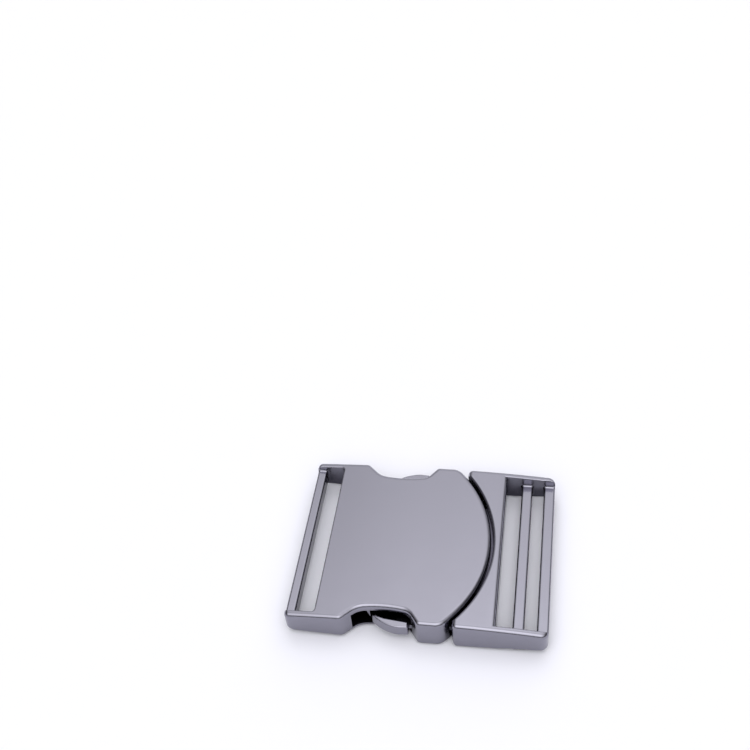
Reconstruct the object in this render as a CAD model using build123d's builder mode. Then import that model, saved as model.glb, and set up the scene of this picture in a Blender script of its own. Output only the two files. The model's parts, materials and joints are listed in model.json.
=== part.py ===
"""A closed side-release buckle of cast metal for 38 mm webbing, in millimetres.

The socket half is at -X with its web slot at the end, the plug half is at +X with its two-slot ladder.
Both halves share one lens-shaped side view and lie on Z = 0, with the origin at the middle of the footprint.
"""

import os
from math import hypot, sqrt

from build123d import *

# Overall form
LENGTH = 53.6
WIDTH = 41.0
THICKNESS = 7.4
THICKEST_X = 1.8
CREST_LAND = 6.0
SOCKET_END_DROP = 0.88
LADDER_END_DROP = 1.04
RIM_ROUND = 0.95
HOLLOW_RIM_ROUND = 0.5
SLOT_EDGE_ROUND = 0.3
END_LAP = 0.1

# Round front edge of the socket, and the plug's hollow edge around it
FRONT_RADIUS = 28.64
FRONT_CORNER_ROUND = 3.0
FRONT_GAP = 0.55
PLUG_BRIDGE = 1.79
PLUG_TIP_WIDTH = 1.64
PLUG_TIP_ROUND = 1.0
PLUG_TIP_RUN = 2.2
PLUG_TIP_RISE = 2.0
PLUG_TIP_SOFTNESS = 0.34

# Walls
SIDE_WALL = 1.8
TOP_PLATE = 1.5
BOTTOM_PLATE = 1.2
SLOT_WALL = 1.7
CAVITY_ROUND = 1.0

# Socket end: a web slot between two rails and a bar
RAIL = 1.45
SOCKET_BAR = 2.05
SOCKET_SLOT = 4.2
SOCKET_SLOT_ROUND = 0.7
SOCKET_BAR_TOP = 5.3
SOCKET_BAR_BOTTOM = 2.0
SOCKET_END_ROUND = 1.1
SOCKET_HEEL_ROUND = 2.2
BAR_EDGE_ROUND = 0.45
BAR_ROOT_ROUND = 0.5
BAR_ROOT_MARGIN = 0.75
BAR_ROOT_DEPTH = 0.7

# Plug end: a ladder of two slots and two bars
LADDER_SLOT = 3.25
LADDER_PLATE_ROUND = 0.85
MIDDLE_BAR = 2.35
OUTER_SLOT = 2.5
END_BAR = 2.4
LADDER_BAR_TOP = 4.5
LADDER_BAR_BOTTOM = 1.9
LADDER_END_ROUND = 1.6
LADDER_HEEL_ROUND = 1.6
RAIL_LAP = 1.7

# Side cutouts of the socket behind its front stubs, measured inwards from its side
STUB_LENGTH = 4.67
CUTOUT_LENGTH = 15.65
CUTOUT_DEPTH = 3.45
CUTOUT_BOW = 0.5
CUTOUT_START_RUN = 3.1
CUTOUT_END_RUN = 2.2
CUTOUT_START_ROUND = 4.5
CUTOUT_END_ROUND = 2.6
CUTOUT_SHOULDER_ROUND = 1.4
CUTOUT_STUB_ROUND = 1.1

# Gusset under the top plate beside each latch's tip
GUSSET_GAP = 0.1
GUSSET_RUN = 0.95
GUSSET_DROP = 3.2
GUSSET_INSET = 3.9
GUSSET_LENGTH = 2.0
GUSSET_LAP = 0.7

# Latches: a pointed head on a low arm that swings on a pin. BACK is measured back from the head's shoulder.
HEAD_TOP = 5.0
HEAD_BOTTOM = 2.4
HEAD_GAP = 1.95
HEAD_LENGTH = 8.15
HEAD_TIP_INSET = 3.4
HEAD_TIP_ROUND = 0.2
HEAD_BULGE_BACK = 5.6
HEAD_BULGE_INSET = 1.42
HEAD_CREST_BACK = 2.0
HEAD_CREST_INSET = 0.4
HEAD_SHOULDER_INSET = 0.55
HEAD_SHOULDER_ROUND = 0.3
HEAD_HEEL_INSET = 2.0
HEAD_THROAT_BACK = 5.0
HEAD_THROAT_INSET = 2.5
HEAD_EDGE_ROUND = 0.4
ARM_WIDTH = 1.45
ARM_TOP = 3.6
ARM_ROOT_BACK = 2.7
ARM_STRAIGHT = 0.48
ARM_CLEARANCE = 0.3
PIVOT_INSET = 4.9
HUB_RADIUS = 1.5
HUB_END_GAP = 0.7
HUB_CLEARANCE = 0.36
PIN_RADIUS = 0.8
PIN_CLEARANCE = 0.04
PIN_SEAT = 0.7

# Hidden tongue of the plug
TONGUE_HALF_WIDTH = 11.0
TONGUE_LENGTH = 21.45
TONGUE_CLEARANCE = 0.35
TONGUE_CORNER_ROUND = 2.0

# Worked-out places, with a tolerance for finding edges and a reach past both crowned faces
SLACK = 0.01
BEYOND = 2 * THICKNESS
HALF_LENGTH = LENGTH / 2
HALF_WIDTH = WIDTH / 2
RAIL_FACE = HALF_WIDTH - RAIL
CAVITY_SIDE = HALF_WIDTH - SIDE_WALL
PLUG_RADIUS = FRONT_RADIUS + FRONT_GAP
SOCKET_BAR_FACE_X = -HALF_LENGTH + SOCKET_BAR
SOCKET_PLATE_X = SOCKET_BAR_FACE_X + SOCKET_SLOT
SOCKET_CAVITY_X = SOCKET_PLATE_X + SLOT_WALL
END_BAR_FACE_X = HALF_LENGTH - END_BAR
MIDDLE_BAR_OUTER_X = END_BAR_FACE_X - OUTER_SLOT
MIDDLE_BAR_INNER_X = MIDDLE_BAR_OUTER_X - MIDDLE_BAR
LADDER_PLATE_X = MIDDLE_BAR_INNER_X - LADDER_SLOT
PLUG_CAVITY_X = LADDER_PLATE_X - SLOT_WALL
RAIL_START_X = LADDER_PLATE_X - RAIL_LAP
TONGUE_ROOT_X = LADDER_PLATE_X - SLOT_WALL / 2
TONGUE_END_X = TONGUE_ROOT_X - TONGUE_LENGTH
CREST_START_X = THICKEST_X - CREST_LAND / 2
CREST_END_X = THICKEST_X + CREST_LAND / 2
PLUG_TIP_Y = HALF_WIDTH - PLUG_TIP_WIDTH
FRONT_CENTRE_X = LADDER_PLATE_X - PLUG_BRIDGE - PLUG_RADIUS
FRONT_CORNER_X = FRONT_CENTRE_X + sqrt(FRONT_RADIUS**2 - HALF_WIDTH**2)
PLUG_TIP_X = FRONT_CENTRE_X + sqrt(PLUG_RADIUS**2 - PLUG_TIP_Y**2)
CUTOUT_END_X = FRONT_CORNER_X - STUB_LENGTH
CUTOUT_START_X = CUTOUT_END_X - CUTOUT_LENGTH
HEAD_SHOULDER_X = CUTOUT_END_X - HEAD_GAP
HEAD_TIP_X = HEAD_SHOULDER_X - HEAD_LENGTH
GUSSET_X = HEAD_TIP_X - GUSSET_GAP
ARM_ROOT_X = HEAD_SHOULDER_X - ARM_ROOT_BACK
ARM_BEND_X = FRONT_CORNER_X + ARM_STRAIGHT
ARM_OUTER_Y = -CAVITY_SIDE + ARM_CLEARANCE
PIVOT_X = PLUG_CAVITY_X - HUB_END_GAP - HUB_RADIUS
PIVOT_Y = -HALF_WIDTH + PIVOT_INSET


def front_distance(point):
    """Distance in plan from the centre of the round front edge."""
    return hypot(point.X - FRONT_CENTRE_X, point.Y)


def crown_drop(x):
    """How far both crowned faces have come in at x from their flat crest, along their round arcs."""
    if x < THICKEST_X:
        reach = CREST_START_X + HALF_LENGTH
        drop = SOCKET_END_DROP
    else:
        reach = HALF_LENGTH - CREST_END_X
        drop = LADDER_END_DROP
    past_crest = max(abs(x - THICKEST_X) - CREST_LAND / 2, 0)
    radius = (reach**2 + drop**2) / (2 * drop)
    return radius - sqrt(radius**2 - past_crest**2)


def side_view(top_inset=0.0, bottom_inset=0.0):
    """Side view between the two crowned faces, each moved inwards by its inset, just past both ends."""
    top = THICKNESS - top_inset
    bottom = bottom_inset
    end_x = HALF_LENGTH + END_LAP
    socket_drop = crown_drop(-end_x)
    ladder_drop = crown_drop(end_x)
    with BuildSketch(Plane.XZ) as view:
        with BuildLine():
            TangentArc((CREST_START_X, top), (-end_x, top - socket_drop), tangent=(-1, 0))
            Line((-end_x, top - socket_drop), (-end_x, bottom + socket_drop))
            TangentArc((CREST_START_X, bottom), (-end_x, bottom + socket_drop), tangent=(-1, 0))
            Line((CREST_START_X, bottom), (CREST_END_X, bottom))
            TangentArc((CREST_END_X, bottom), (end_x, bottom + ladder_drop), tangent=(1, 0))
            Line((end_x, bottom + ladder_drop), (end_x, top - ladder_drop))
            TangentArc((CREST_END_X, top), (end_x, top - ladder_drop), tangent=(1, 0))
            Line((CREST_END_X, top), (CREST_START_X, top))
        make_face()
    return view.sketch


def side_view_between(low_x, high_x):
    """The side view between two places along X."""
    with BuildSketch(Plane.XZ) as view:
        add(side_view())
        with Locations(((low_x + high_x) / 2, 0)):
            Rectangle(high_x - low_x, 2 * BEYOND, mode=Mode.INTERSECT)
    return view.sketch


def cutout_plan():
    """Plan of the near side cutout, as far out as the side of the socket."""
    deepest = -HALF_WIDTH + CUTOUT_DEPTH
    corner_y = deepest - CUTOUT_BOW
    start_corner = (CUTOUT_START_X + CUTOUT_START_RUN, corner_y)
    end_corner = (CUTOUT_END_X - CUTOUT_END_RUN, corner_y)
    middle = ((start_corner[0] + end_corner[0]) / 2, deepest)
    with BuildSketch() as plan:
        with BuildLine():
            Line((CUTOUT_START_X, -HALF_WIDTH), start_corner)
            ThreePointArc(start_corner, middle, end_corner)
            Line(end_corner, (CUTOUT_END_X, -HALF_WIDTH))
            Line((CUTOUT_END_X, -HALF_WIDTH), (CUTOUT_START_X, -HALF_WIDTH))
        make_face()
        for (corner_x, _), radius in ((start_corner, CUTOUT_START_ROUND), (end_corner, CUTOUT_END_ROUND)):
            corner = plan.vertices().filter_by_position(Axis.X, corner_x - SLACK, corner_x + SLACK)
            fillet(corner, radius=radius)
    return plan.sketch


def socket_plan():
    """Plan of the socket half with its round front edge, rounded corners and side cutouts."""
    front_edge = (FRONT_CENTRE_X + FRONT_RADIUS, 0)
    with BuildSketch() as plan:
        with BuildLine():
            Polyline(
                (FRONT_CORNER_X, HALF_WIDTH),
                (-HALF_LENGTH, HALF_WIDTH),
                (-HALF_LENGTH, -HALF_WIDTH),
                (FRONT_CORNER_X, -HALF_WIDTH),
            )
            ThreePointArc((FRONT_CORNER_X, -HALF_WIDTH), front_edge, (FRONT_CORNER_X, HALF_WIDTH))
        make_face()
        fillet(plan.vertices().group_by(Axis.X)[0], radius=SOCKET_END_ROUND)
        fillet(plan.vertices().group_by(Axis.X)[-1], radius=FRONT_CORNER_ROUND)
        near_cutout = cutout_plan()
        add(near_cutout, mode=Mode.SUBTRACT)
        mirror(near_cutout, about=Plane.XZ, mode=Mode.SUBTRACT)
        for cutout_x, radius in (
            (CUTOUT_START_X, CUTOUT_SHOULDER_ROUND),
            (CUTOUT_END_X, CUTOUT_STUB_ROUND),
        ):
            corners = plan.vertices().filter_by_position(Axis.X, cutout_x - SLACK, cutout_x + SLACK)
            fillet(corners, radius=radius)
    return plan.sketch


def plug_plan():
    """Plan of the plug half with rounded corners, before its front edge is hollowed."""
    with BuildSketch() as plan:
        with Locations(((PLUG_TIP_X + HALF_LENGTH) / 2, 0)):
            Rectangle(HALF_LENGTH - PLUG_TIP_X, WIDTH)
        fillet(plan.vertices().group_by(Axis.X)[0], radius=PLUG_TIP_ROUND)
        fillet(plan.vertices().group_by(Axis.X)[-1], radius=LADDER_END_ROUND)
    return plan.sketch


def outline_edges(part, plan):
    """Edges of the part over the outline of its plan, apart from upright ones."""
    outline = plan.face().outer_wire()
    edges = part.edges().filter_by(lambda edge: abs(edge.tangent_at(0.5).Z) < 1 - SLACK)
    return edges.filter_by(
        lambda edge: outline.distance_to(Vertex(edge.position_at(0.5).X, edge.position_at(0.5).Y, 0)) < SLACK
    )


def rimmed_blank(plan):
    """A solid blank of this plan between the crowned faces, with heels under the ends and rounded rims."""
    with BuildPart() as blank:
        extrude(to_extrude=plan, amount=BEYOND)
        with BuildSketch(Plane.XZ) as view:
            add(side_view())
            fillet(view.vertices().group_by(Axis.X)[0].sort_by(Axis.Y)[0], radius=SOCKET_HEEL_ROUND)
            fillet(view.vertices().group_by(Axis.X)[-1].sort_by(Axis.Y)[0], radius=LADDER_HEEL_ROUND)
        extrude(amount=WIDTH, both=True, mode=Mode.INTERSECT)
        fillet(outline_edges(blank, plan), radius=RIM_ROUND)
    return blank.part


def cast_bar(low_x, high_x, bottom, top):
    """A bar between the rails with rounded edges, spread at its ends into a slab inside each rail."""
    middle = ((low_x + high_x) / 2, (bottom + top) / 2)
    spread = 2 * BAR_ROOT_MARGIN
    with BuildPart() as bar:
        with BuildSketch(Plane.XZ) as section:
            with Locations(middle):
                Rectangle(high_x - low_x, top - bottom)
            fillet(section.vertices(), radius=BAR_EDGE_ROUND)
        extrude(amount=RAIL_FACE)
        with BuildSketch(Plane.XZ.offset(RAIL_FACE)):
            with Locations(middle):
                Rectangle(high_x - low_x + spread, top - bottom + spread)
        extrude(amount=BAR_ROOT_DEPTH)
        fillet(bar.edges().filter_by(lambda edge: edge.is_interior), radius=BAR_ROOT_ROUND)
        mirror(about=Plane.XZ)
    return bar.part


def hollow(low_x, high_x):
    """The space between the plates and the side walls, between two places along X."""
    with BuildPart() as space:
        with BuildSketch() as plan:
            with Locations(((low_x + high_x) / 2, 0)):
                Rectangle(high_x - low_x, 2 * CAVITY_SIDE)
            fillet(plan.vertices(), radius=CAVITY_ROUND)
        extrude(amount=BEYOND)
        extrude(side_view(TOP_PLATE, BOTTOM_PLATE), amount=WIDTH, both=True, mode=Mode.INTERSECT)
    return space.part


# Heights at the pivots
CAVITY_FLOOR_Z = BOTTOM_PLATE + crown_drop(PIVOT_X)
CAVITY_CEILING_Z = THICKNESS - TOP_PLATE - crown_drop(PIVOT_X)
PIN_FOOT = CAVITY_FLOOR_Z - PIN_SEAT
PIN_HEAD = CAVITY_CEILING_Z + PIN_SEAT

os.makedirs("parts", exist_ok=True)

# Gussets under the socket's top plate, one beside each latch's tip
with BuildPart() as gussets:
    gusset_ceiling = THICKNESS - TOP_PLATE - crown_drop(GUSSET_X)
    with BuildSketch(Plane.XZ.offset(HALF_WIDTH - GUSSET_INSET - GUSSET_LENGTH)):
        with BuildLine():
            Polyline(
                (GUSSET_X, gusset_ceiling - GUSSET_DROP),
                (GUSSET_X, gusset_ceiling + GUSSET_LAP),
                (GUSSET_X - GUSSET_RUN, gusset_ceiling + GUSSET_LAP),
                (GUSSET_X - GUSSET_RUN, gusset_ceiling),
                (GUSSET_X, gusset_ceiling - GUSSET_DROP),
            )
        make_face()
    extrude(amount=GUSSET_LENGTH)
    mirror(about=Plane.XZ)

# Socket half: rails and web bar at its end, rims rounded, hollow, open at the round front edge
with BuildPart() as socket_shell:
    extrude(side_view(), amount=WIDTH, both=True)
    with BuildSketch() as window:
        with Locations(((SOCKET_PLATE_X - LENGTH) / 2, 0)):
            Rectangle(SOCKET_PLATE_X + LENGTH, 2 * RAIL_FACE)
        fillet(window.vertices().group_by(Axis.X)[-1], radius=SOCKET_SLOT_ROUND)
    extrude(amount=BEYOND, mode=Mode.SUBTRACT)
    window_edges = socket_shell.edges().filter_by(
        lambda edge: -HALF_LENGTH < edge.position_at(0.5).X < SOCKET_PLATE_X + SLACK
        and abs(edge.position_at(0.5).Y) < RAIL_FACE + SLACK
        and abs(edge.tangent_at(0.5).Z) < 1 - SLACK
    )
    fillet(window_edges, radius=SLOT_EDGE_ROUND)
    add(cast_bar(-HALF_LENGTH, SOCKET_BAR_FACE_X, SOCKET_BAR_BOTTOM, SOCKET_BAR_TOP))
    add(rimmed_blank(socket_plan()), mode=Mode.INTERSECT)
    add(hollow(SOCKET_CAVITY_X, LENGTH), mode=Mode.SUBTRACT)
    add(gussets.part)
socket_shell.part.label = "socket_shell"
export_step(socket_shell.part, "parts/socket_shell.step")

# Rails of the ladder, with their inner edges rounded, reaching into the plug's plate
with BuildPart() as rails:
    with BuildSketch(Plane.XZ.offset(RAIL_FACE)):
        add(side_view_between(RAIL_START_X, LENGTH))
    extrude(amount=BEYOND)
    inner_edges = rails.edges().filter_by(lambda edge: abs(edge.position_at(0.5).Y + RAIL_FACE) < SLACK)
    fillet(inner_edges.filter_by(Axis.Z, reverse=True), radius=SLOT_EDGE_ROUND)
    mirror(about=Plane.XZ)

# Tongue of the plug, inside both halves
with BuildPart() as tongue:
    with BuildSketch() as tongue_plan:
        with Locations(((TONGUE_END_X + TONGUE_ROOT_X) / 2, 0)):
            Rectangle(TONGUE_ROOT_X - TONGUE_END_X, 2 * TONGUE_HALF_WIDTH)
        fillet(tongue_plan.vertices().group_by(Axis.X)[0], radius=TONGUE_CORNER_ROUND)
    extrude(amount=BEYOND)
    extrude(
        side_view(TOP_PLATE + TONGUE_CLEARANCE, BOTTOM_PLATE + TONGUE_CLEARANCE),
        amount=WIDTH,
        both=True,
        mode=Mode.INTERSECT,
    )

# Plug half: plate, rails, two bars and tongue in one casting
with BuildPart() as ladder_frame:
    with BuildSketch(Plane.XZ) as plate_view:
        add(side_view_between(PLUG_TIP_X - BEYOND, LADDER_PLATE_X))
        fillet(plate_view.vertices().group_by(Axis.X)[-1], radius=LADDER_PLATE_ROUND)
    extrude(amount=WIDTH, both=True)
    with BuildSketch():
        with Locations((FRONT_CENTRE_X, 0)):
            Circle(PLUG_RADIUS)
    extrude(amount=BEYOND, mode=Mode.SUBTRACT)
    hollow_rims = ladder_frame.edges().filter_by(
        lambda edge: abs(front_distance(edge.position_at(0.5)) - PLUG_RADIUS) < SLACK
        and abs(edge.tangent_at(0.5).Z) < 1 - SLACK
    )
    fillet(hollow_rims, radius=HOLLOW_RIM_ROUND)
    add(rails.part)
    add(cast_bar(MIDDLE_BAR_INNER_X, MIDDLE_BAR_OUTER_X, LADDER_BAR_BOTTOM, LADDER_BAR_TOP))
    add(cast_bar(END_BAR_FACE_X, HALF_LENGTH, LADDER_BAR_BOTTOM, LADDER_BAR_TOP))
    add(rimmed_blank(plug_plan()), mode=Mode.INTERSECT)
    with BuildSketch(Plane.XZ) as tip_relief:
        with BuildLine():
            ThreePointArc(
                (PLUG_TIP_X + PLUG_TIP_RUN, 0),
                (PLUG_TIP_X + PLUG_TIP_SOFTNESS * PLUG_TIP_RUN, PLUG_TIP_SOFTNESS * PLUG_TIP_RISE),
                (PLUG_TIP_X, PLUG_TIP_RISE),
            )
            Polyline(
                (PLUG_TIP_X, PLUG_TIP_RISE),
                (PLUG_TIP_X - BEYOND, PLUG_TIP_RISE),
                (PLUG_TIP_X - BEYOND, -THICKNESS),
                (PLUG_TIP_X + PLUG_TIP_RUN, -THICKNESS),
                (PLUG_TIP_X + PLUG_TIP_RUN, 0),
            )
        make_face()
    extrude(amount=WIDTH, both=True, mode=Mode.SUBTRACT)
    add(hollow(PLUG_TIP_X - BEYOND, PLUG_CAVITY_X), mode=Mode.SUBTRACT)

    # Blind bores for the pivot pins, in both plates
    with BuildSketch(Plane.XY.offset(PIN_FOOT - PIN_CLEARANCE)):
        with Locations((PIVOT_X, PIVOT_Y), (PIVOT_X, -PIVOT_Y)):
            Circle(PIN_RADIUS + PIN_CLEARANCE)
    extrude(amount=PIN_HEAD - PIN_FOOT + 2 * PIN_CLEARANCE, mode=Mode.SUBTRACT)
    add(tongue.part)
ladder_frame.part.label = "ladder_frame"
export_step(ladder_frame.part, "parts/ladder_frame.step")

# Near latch: head in the cutout, low arm and hub around the pin
with BuildPart() as near_latch:
    with BuildSketch(Plane.XY.offset(HEAD_BOTTOM)) as head:
        with BuildLine():
            tip = (HEAD_TIP_X, HEAD_TIP_INSET - HALF_WIDTH)
            bulge = (HEAD_SHOULDER_X - HEAD_BULGE_BACK, HEAD_BULGE_INSET - HALF_WIDTH)
            crest = (HEAD_SHOULDER_X - HEAD_CREST_BACK, HEAD_CREST_INSET - HALF_WIDTH)
            shoulder = (HEAD_SHOULDER_X, HEAD_SHOULDER_INSET - HALF_WIDTH)
            heel = (HEAD_SHOULDER_X, HEAD_HEEL_INSET - HALF_WIDTH)
            throat = (HEAD_SHOULDER_X - HEAD_THROAT_BACK, HEAD_THROAT_INSET - HALF_WIDTH)
            ThreePointArc(tip, bulge, crest)
            Polyline(crest, shoulder, heel, throat, tip)
        make_face()
        fillet(head.vertices().group_by(Axis.X)[0], radius=HEAD_TIP_ROUND)
        fillet(head.vertices().group_by(Axis.X)[-1], radius=HEAD_SHOULDER_ROUND)
    extrude(amount=HEAD_TOP - HEAD_BOTTOM)
    fillet(near_latch.faces().sort_by(Axis.Z)[-1].edges(), radius=HEAD_EDGE_ROUND)
    with BuildSketch(Plane.XY.offset(HEAD_BOTTOM)):
        with BuildLine():
            Polyline(
                (ARM_ROOT_X, ARM_OUTER_Y),
                (ARM_BEND_X, ARM_OUTER_Y),
                (PIVOT_X, PIVOT_Y - ARM_WIDTH / 2),
                (PIVOT_X, PIVOT_Y + ARM_WIDTH / 2),
                (ARM_BEND_X, ARM_OUTER_Y + ARM_WIDTH),
                (ARM_ROOT_X, ARM_OUTER_Y + ARM_WIDTH),
                (ARM_ROOT_X, ARM_OUTER_Y),
            )
        make_face()
    extrude(amount=ARM_TOP - HEAD_BOTTOM)
    with BuildSketch(Plane.XY.offset(CAVITY_FLOOR_Z + HUB_CLEARANCE)):
        with Locations((PIVOT_X, PIVOT_Y)):
            Circle(HUB_RADIUS)
    extrude(amount=CAVITY_CEILING_Z - CAVITY_FLOOR_Z - 2 * HUB_CLEARANCE)
    with BuildSketch():
        with Locations((PIVOT_X, PIVOT_Y)):
            Circle(PIN_RADIUS + PIN_CLEARANCE)
    extrude(amount=BEYOND, mode=Mode.SUBTRACT)
near_latch.part.label = "near_latch"
export_step(near_latch.part, "parts/near_latch.step")

# Far latch: the same, mirrored
with BuildPart() as far_latch:
    mirror(near_latch.part, about=Plane.XZ)
far_latch.part.label = "far_latch"
export_step(far_latch.part, "parts/far_latch.step")

# Pivot pins, seated in both plates of the plug
with BuildPart() as near_pivot_pin:
    with BuildSketch(Plane.XY.offset(PIN_FOOT)):
        with Locations((PIVOT_X, PIVOT_Y)):
            Circle(PIN_RADIUS)
    extrude(amount=PIN_HEAD - PIN_FOOT)
near_pivot_pin.part.label = "near_pivot_pin"
export_step(near_pivot_pin.part, "parts/near_pivot_pin.step")

with BuildPart() as far_pivot_pin:
    mirror(near_pivot_pin.part, about=Plane.XZ)
far_pivot_pin.part.label = "far_pivot_pin"
export_step(far_pivot_pin.part, "parts/far_pivot_pin.step")
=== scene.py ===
"""Dresses the fastened side-release buckle in its dark plated finish, on a pale floor under soft light."""

import json
from math import cos, pi, sin

import bpy
from mathutils import Matrix, Vector

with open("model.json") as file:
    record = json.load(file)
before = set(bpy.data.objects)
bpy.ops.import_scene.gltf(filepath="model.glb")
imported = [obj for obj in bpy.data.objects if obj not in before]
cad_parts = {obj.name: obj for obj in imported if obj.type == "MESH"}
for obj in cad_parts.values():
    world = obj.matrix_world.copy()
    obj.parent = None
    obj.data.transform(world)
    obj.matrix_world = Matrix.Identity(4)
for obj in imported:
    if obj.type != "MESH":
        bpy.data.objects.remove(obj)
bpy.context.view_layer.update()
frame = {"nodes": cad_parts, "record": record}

MM = 0.001

# Colours, as linear light
PLATING = (0.265, 0.26, 0.305, 1.0)
WORN_PLATING = (0.36, 0.35, 0.40, 1.0)
# Painted shade: the near-black colour put into recesses in place of the shade that falls there
PAINTED_RECESS_SHADE = (0.045, 0.042, 0.06, 1.0)
FLOOR_WHITE = (0.89, 0.89, 0.95, 1.0)
ROOM_TINT = (0.985, 0.985, 1.0, 1.0)

# Finish: how rough the plating and the pins are, how far the roughness wanders, and how much edges are worn
PLATING_ROUGHNESS = 0.2
PIN_ROUGHNESS = 0.35
ROUGHNESS_SPREAD = 0.03
CASTING_WEAR = 0.3
PIN_WEAR = 0.0

# Grain: fine bumps with slower ripples under them, and a slow mottle whose middle range sets the roughness
GRAIN_PER_METRE = 2600.0
GRAIN_HEIGHT = 0.01 * MM
GRAIN_STRENGTH = 0.12
RIPPLE_SCALE = 0.12
RIPPLE_SHARE = 4.0
MOTTLE_PER_METRE = 160.0
MOTTLE_LOW = 0.3
MOTTLE_HIGH = 0.7

# Worn edges: width, how sharply they begin, and the patches that break them up
WEAR_REACH = 0.4 * MM
WEAR_SAMPLES = 6
WEAR_SHARPNESS = 9.0
PATCHES_PER_METRE = 420.0

# Painted shade in recesses: how far off a wall still darkens them, and how open they are where the painted
# shade starts and where it is full
CASTING_SHADE_REACH = 8 * MM
LATCH_SHADE_REACH = 3 * MM
PAINTED_SHADE_ONSET = 0.6
PAINTED_SHADE_FULL = 0.26
PAINTED_SHADE_SAMPLES = 8

# Board under the buckle, as radius and height of its rings
FLOOR_PROFILE = ((1.2, 0.0), (1.4, 0.01), (1.6, 0.05), (1.8, 0.13), (2.0, 0.28))
FLOOR_STEPS = 96
FLOOR_ROUGHNESS = 0.9
FLOOR_SHINE = 0.2

# Brightness of the room along an arc from its back wall over the ceiling to its front, by angle in degrees
ROOM_ARC = (
    (0, 1.0),
    (35, 1.15),
    (50, 1.36),
    (56, 1.66),
    (62, 2.25),
    (69, 2.0),
    (79, 1.25),
    (88, 1.4),
    (96, 2.1),
    (106, 2.8),
    (132, 2.8),
    (144, 1.7),
    (155, 0.3),
    (180, 0.2),
)
ARC_DEGREES = 180
ARC_MIDDLE = 0.5
ROOM_PEAK = 3.5

# Light towards the right, its fall towards both sides, and its fade near the floor
RIGHT_GAIN = 0.2
SIDE_FALL = 2.0
HORIZON_LEVEL = 0.25
HORIZON_TOP = 0.3

# Camera: the photograph's viewing angle, as the place of the lens and the picture's axes
PICTURE_SIDE = 750
FOCAL_PIXELS = 1100.1
SENSOR_WIDTH = 36.0
NEAREST_SEEN = 0.01
FARTHEST_SEEN = 20.0
CAMERA_PLACE = Vector((25.329, -137.945, 197.491)) * MM
PICTURE_RIGHT = Vector((0.98592, 0.14655, -0.08053))
PICTURE_DOWN = Vector((0.04764, -0.70779, -0.70481))


def group_socket(tree, name, kind, default=None, is_output=False):
    """Adds a named input or output to a node group."""
    direction = "OUTPUT" if is_output else "INPUT"
    socket = tree.interface.new_socket(name=name, in_out=direction, socket_type=kind)
    if default is not None:
        socket.default_value = default


def math_node(nodes, operation, first=None, second=None, clamp=False):
    """A math node with its plain values set."""
    node = nodes.new("ShaderNodeMath")
    node.operation = operation
    node.use_clamp = clamp
    if first is not None:
        node.inputs[0].default_value = first
    if second is not None:
        node.inputs[1].default_value = second
    return node


def noise_node(nodes, scale, detail, roughness):
    """A noise texture with its plain values set."""
    node = nodes.new("ShaderNodeTexNoise")
    node.inputs["Scale"].default_value = scale
    node.inputs["Detail"].default_value = detail
    node.inputs["Roughness"].default_value = roughness
    return node


def blast_grain_group():
    """Fine all-over grain of a tumbled, plated casting: a height, and a slow mottle for its roughness."""
    tree = bpy.data.node_groups.new("Casting grain", "ShaderNodeTree")
    group_socket(tree, "Grain per metre", "NodeSocketFloat", GRAIN_PER_METRE)
    group_socket(tree, "Mottle per metre", "NodeSocketFloat", MOTTLE_PER_METRE)
    group_socket(tree, "Height", "NodeSocketFloat", is_output=True)
    group_socket(tree, "Mottle", "NodeSocketFloat", is_output=True)
    nodes = tree.nodes
    links = tree.links
    start = nodes.new("NodeGroupInput")
    end = nodes.new("NodeGroupOutput")
    place = nodes.new("ShaderNodeTexCoord")
    grain = noise_node(nodes, scale=1.0, detail=2.0, roughness=0.5)
    mottle = noise_node(nodes, scale=1.0, detail=3.0, roughness=0.55)
    ripple = noise_node(nodes, scale=1.0, detail=1.0, roughness=0.5)
    ripple_scale = math_node(nodes, "MULTIPLY", second=RIPPLE_SCALE)
    ripple_share = math_node(nodes, "MULTIPLY", second=RIPPLE_SHARE)
    total = math_node(nodes, "ADD")
    for texture in (grain, mottle, ripple):
        links.new(place.outputs["Object"], texture.inputs["Vector"])
    links.new(start.outputs["Grain per metre"], grain.inputs["Scale"])
    links.new(start.outputs["Mottle per metre"], mottle.inputs["Scale"])
    links.new(start.outputs["Grain per metre"], ripple_scale.inputs[0])
    links.new(ripple_scale.outputs[0], ripple.inputs["Scale"])
    links.new(ripple.outputs["Fac"], ripple_share.inputs[0])
    links.new(grain.outputs["Fac"], total.inputs[0])
    links.new(ripple_share.outputs[0], total.inputs[1])
    links.new(total.outputs[0], end.inputs["Height"])
    links.new(mottle.outputs["Fac"], end.inputs["Mottle"])
    return tree


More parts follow.
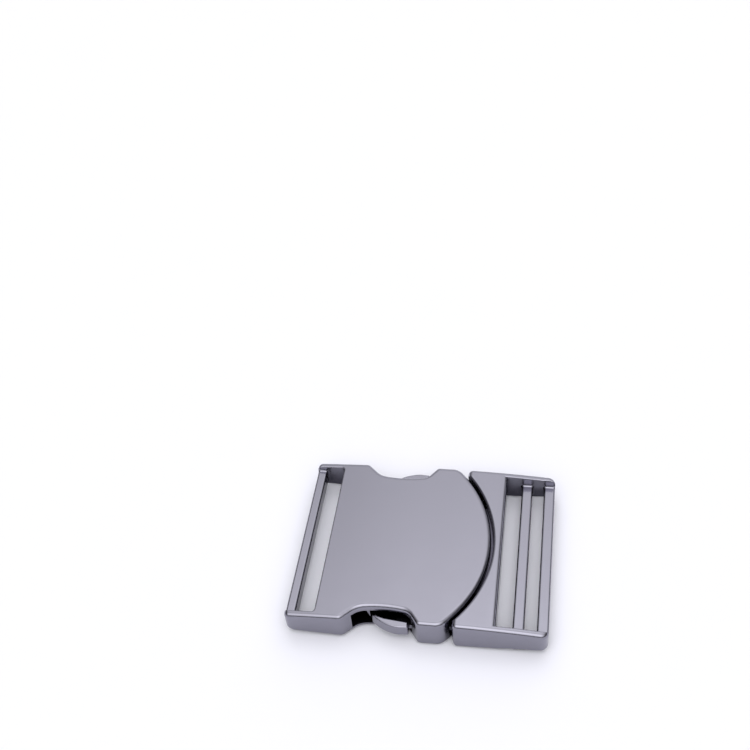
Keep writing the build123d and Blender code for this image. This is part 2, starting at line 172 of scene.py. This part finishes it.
def edge_wear_group():
    """Mask of the convex edges where handling has thinned the plating, broken up by noise."""
    tree = bpy.data.node_groups.new("Edge wear", "ShaderNodeTree")
    group_socket(tree, "Reach", "NodeSocketFloat", WEAR_REACH)
    group_socket(tree, "Amount", "NodeSocketFloat", CASTING_WEAR)
    group_socket(tree, "Worn", "NodeSocketFloat", is_output=True)
    nodes = tree.nodes
    links = tree.links
    start = nodes.new("NodeGroupInput")
    end = nodes.new("NodeGroupOutput")
    shape = nodes.new("ShaderNodeNewGeometry")
    bevel = nodes.new("ShaderNodeBevel")
    bevel.samples = WEAR_SAMPLES
    likeness = nodes.new("ShaderNodeVectorMath")
    likeness.operation = "DOT_PRODUCT"
    turned = math_node(nodes, "SUBTRACT", first=1.0)
    spread = math_node(nodes, "MULTIPLY", second=WEAR_SHARPNESS, clamp=True)
    place = nodes.new("ShaderNodeTexCoord")
    patches = noise_node(nodes, scale=PATCHES_PER_METRE, detail=4.0, roughness=0.6)
    uneven = math_node(nodes, "MULTIPLY")
    share = math_node(nodes, "MULTIPLY", clamp=True)
    links.new(start.outputs["Reach"], bevel.inputs["Radius"])
    links.new(shape.outputs["Normal"], likeness.inputs[0])
    links.new(bevel.outputs["Normal"], likeness.inputs[1])
    links.new(likeness.outputs["Value"], turned.inputs[1])
    links.new(turned.outputs[0], spread.inputs[0])
    links.new(place.outputs["Object"], patches.inputs["Vector"])
    links.new(spread.outputs[0], uneven.inputs[0])
    links.new(patches.outputs["Fac"], uneven.inputs[1])
    links.new(uneven.outputs[0], share.inputs[0])
    links.new(start.outputs["Amount"], share.inputs[1])
    links.new(share.outputs[0], end.inputs["Worn"])
    return tree


def painted_recess_shade_group():
    """Mask of the recesses where painted shade darkens the plating to near black, in place of the shade
    that falls there.
    """
    tree = bpy.data.node_groups.new("Painted recess shade", "ShaderNodeTree")
    group_socket(tree, "Reach", "NodeSocketFloat", CASTING_SHADE_REACH)
    group_socket(tree, "Onset", "NodeSocketFloat", PAINTED_SHADE_ONSET)
    group_socket(tree, "Depth", "NodeSocketFloat", is_output=True)
    nodes = tree.nodes
    links = tree.links
    start = nodes.new("NodeGroupInput")
    end = nodes.new("NodeGroupOutput")
    openness = nodes.new("ShaderNodeAmbientOcclusion")
    openness.samples = PAINTED_SHADE_SAMPLES
    painted_shade_amount = nodes.new("ShaderNodeMapRange")
    painted_shade_amount.inputs["From Max"].default_value = PAINTED_SHADE_FULL
    links.new(start.outputs["Reach"], openness.inputs["Distance"])
    links.new(start.outputs["Onset"], painted_shade_amount.inputs["From Min"])
    links.new(openness.outputs["AO"], painted_shade_amount.inputs["Value"])
    links.new(painted_shade_amount.outputs["Result"], end.inputs["Depth"])
    return tree


def plated_metal(name, groups, roughness, wear, painted_shade_reach):
    """Dark metal plating: grained, a little paler on its worn edges, and with painted shade near black in
    its recesses.
    """
    material = bpy.data.materials.new(name)
    material.use_nodes = True
    nodes = material.node_tree.nodes
    links = material.node_tree.links
    metal = nodes["Principled BSDF"]
    metal.inputs["Metallic"].default_value = 1.0
    grain = nodes.new("ShaderNodeGroup")
    grain.node_tree = groups["grain"]
    edges = nodes.new("ShaderNodeGroup")
    edges.node_tree = groups["wear"]
    edges.inputs["Amount"].default_value = wear
    shade = nodes.new("ShaderNodeMix")
    shade.data_type = "RGBA"
    shade.inputs["A"].default_value = PLATING
    shade.inputs["B"].default_value = WORN_PLATING
    links.new(edges.outputs["Worn"], shade.inputs["Factor"])
    painted_shade_mask = nodes.new("ShaderNodeGroup")
    painted_shade_mask.node_tree = groups["painted_shade"]
    painted_shade_mask.inputs["Reach"].default_value = painted_shade_reach
    # Painted shade: the plating is mixed towards near black where the recess mask is deep
    painted_shade_mix = nodes.new("ShaderNodeMix")
    painted_shade_mix.data_type = "RGBA"
    painted_shade_mix.inputs["B"].default_value = PAINTED_RECESS_SHADE
    links.new(painted_shade_mask.outputs["Depth"], painted_shade_mix.inputs["Factor"])
    links.new(shade.outputs["Result"], painted_shade_mix.inputs["A"])
    links.new(painted_shade_mix.outputs["Result"], metal.inputs["Base Color"])
    gloss = nodes.new("ShaderNodeMapRange")
    gloss.inputs["From Min"].default_value = MOTTLE_LOW
    gloss.inputs["From Max"].default_value = MOTTLE_HIGH
    gloss.inputs["To Min"].default_value = roughness - ROUGHNESS_SPREAD
    gloss.inputs["To Max"].default_value = roughness + ROUGHNESS_SPREAD
    links.new(grain.outputs["Mottle"], gloss.inputs["Value"])
    links.new(gloss.outputs["Result"], metal.inputs["Roughness"])
    bump = nodes.new("ShaderNodeBump")
    bump.inputs["Strength"].default_value = GRAIN_STRENGTH
    bump.inputs["Distance"].default_value = GRAIN_HEIGHT
    links.new(grain.outputs["Height"], bump.inputs["Height"])
    links.new(bump.outputs["Normal"], metal.inputs["Normal"])
    return material


def pale_floor():
    """The matt white board that the buckle lies on, turned up softly at its rim."""
    material = bpy.data.materials.new("White board")
    material.use_nodes = True
    board = material.node_tree.nodes["Principled BSDF"]
    board.inputs["Base Color"].default_value = FLOOR_WHITE
    board.inputs["Roughness"].default_value = FLOOR_ROUGHNESS
    board.inputs["Specular IOR Level"].default_value = FLOOR_SHINE
    corners = []
    for radius, height in FLOOR_PROFILE:
        for step in range(FLOOR_STEPS):
            turn = 2 * pi * step / FLOOR_STEPS
            corners.append((radius * cos(turn), radius * sin(turn), height))
    faces = [tuple(range(FLOOR_STEPS))]
    for ring in range(len(FLOOR_PROFILE) - 1):
        for step in range(FLOOR_STEPS):
            inner = ring * FLOOR_STEPS + step
            inner_next = ring * FLOOR_STEPS + (step + 1) % FLOOR_STEPS
            faces.append((inner, inner + FLOOR_STEPS, inner_next + FLOOR_STEPS, inner_next))
    mesh = bpy.data.meshes.new("floor")
    mesh.from_pydata(corners, [], faces)
    mesh.shade_smooth()
    mesh.materials.append(material)
    floor = bpy.data.objects.new("floor", mesh)
    bpy.context.collection.objects.link(floor)


def photo_camera():
    """The camera at the photograph's viewing angle and distance."""
    data = bpy.data.cameras.new("camera")
    data.sensor_width = SENSOR_WIDTH
    data.lens = SENSOR_WIDTH * FOCAL_PIXELS / PICTURE_SIDE
    data.clip_start = NEAREST_SEEN
    data.clip_end = FARTHEST_SEEN
    camera = bpy.data.objects.new("camera", data)
    back = PICTURE_RIGHT.cross(-PICTURE_DOWN)
    turn = Matrix((PICTURE_RIGHT, -PICTURE_DOWN, back)).transposed()
    camera.matrix_world = Matrix.Translation(CAMERA_PLACE) @ turn.to_4x4()
    bpy.context.collection.objects.link(camera)
    bpy.context.scene.camera = camera


def studio():
    """A pale room with bright bands overhead and behind the camera, darker near the floor and in front."""
    world = bpy.data.worlds.new("Pale room")
    world.use_nodes = True
    nodes = world.node_tree.nodes
    links = world.node_tree.links
    room = nodes["Background"]
    direction = nodes.new("ShaderNodeTexCoord")
    parts = nodes.new("ShaderNodeSeparateXYZ")
    angle = math_node(nodes, "ARCTAN2")
    share = math_node(nodes, "DIVIDE", second=pi, clamp=True)
    bands = nodes.new("ShaderNodeValToRGB")
    bands.color_ramp.interpolation = "B_SPLINE"
    stops = bands.color_ramp.elements
    while len(stops) < len(ROOM_ARC):
        stops.new(ARC_MIDDLE)
    for stop, (degrees, brightness) in zip(stops, ROOM_ARC):
        level = brightness / ROOM_PEAK
        stop.position = degrees / ARC_DEGREES
        stop.color = (level, level, level, 1.0)
    right = math_node(nodes, "MULTIPLY", second=RIGHT_GAIN)
    from_middle = math_node(nodes, "MULTIPLY")
    off_side = math_node(nodes, "SUBTRACT", first=1.0, clamp=True)
    fall = math_node(nodes, "POWER", second=SIDE_FALL)
    across = math_node(nodes, "ADD", second=1.0)
    sideways = math_node(nodes, "MULTIPLY")
    horizon = nodes.new("ShaderNodeMapRange")
    horizon.interpolation_type = "SMOOTHSTEP"
    horizon.inputs["From Min"].default_value = 0.0
    horizon.inputs["From Max"].default_value = HORIZON_TOP
    horizon.inputs["To Min"].default_value = HORIZON_LEVEL * ROOM_PEAK
    horizon.inputs["To Max"].default_value = ROOM_PEAK
    shaded = math_node(nodes, "MULTIPLY")
    strength = math_node(nodes, "MULTIPLY")
    links.new(direction.outputs["Generated"], parts.inputs["Vector"])
    links.new(parts.outputs["Z"], angle.inputs[0])
    links.new(parts.outputs["Y"], angle.inputs[1])
    links.new(angle.outputs[0], share.inputs[0])
    links.new(share.outputs[0], bands.inputs["Fac"])
    links.new(parts.outputs["X"], right.inputs[0])
    links.new(parts.outputs["X"], from_middle.inputs[0])
    links.new(parts.outputs["X"], from_middle.inputs[1])
    links.new(from_middle.outputs[0], off_side.inputs[1])
    links.new(off_side.outputs[0], fall.inputs[0])
    links.new(right.outputs[0], across.inputs[0])
    links.new(across.outputs[0], sideways.inputs[0])
    links.new(fall.outputs[0], sideways.inputs[1])
    links.new(parts.outputs["Z"], horizon.inputs["Value"])
    links.new(bands.outputs["Color"], shaded.inputs[0])
    links.new(sideways.outputs[0], shaded.inputs[1])
    links.new(shaded.outputs[0], strength.inputs[0])
    links.new(horizon.outputs["Result"], strength.inputs[1])
    room.inputs["Color"].default_value = ROOM_TINT
    links.new(strength.outputs[0], room.inputs["Strength"])
    bpy.context.scene.world = world
    view = bpy.context.scene.view_settings
    view.view_transform = "Standard"
    view.look = "None"


photo_camera()
studio()
pale_floor()
groups = {"grain": blast_grain_group(), "wear": edge_wear_group(), "painted_shade": painted_recess_shade_group()}
finishes = {
    "plated_casting": plated_metal(
        "Dark plated casting", groups, PLATING_ROUGHNESS, CASTING_WEAR, CASTING_SHADE_REACH
    ),
    "plated_latch": plated_metal(
        "Dark plated latch", groups, PLATING_ROUGHNESS, CASTING_WEAR, LATCH_SHADE_REACH
    ),
    "pin_steel": plated_metal("Pin steel", groups, PIN_ROUGHNESS, PIN_WEAR, CASTING_SHADE_REACH),
}
for entry in frame["record"]["subparts"]:
    node = frame["nodes"][entry["node"]]
    for material_slot in node.material_slots:
        material_slot.material = finishes[entry["material_slot"]]
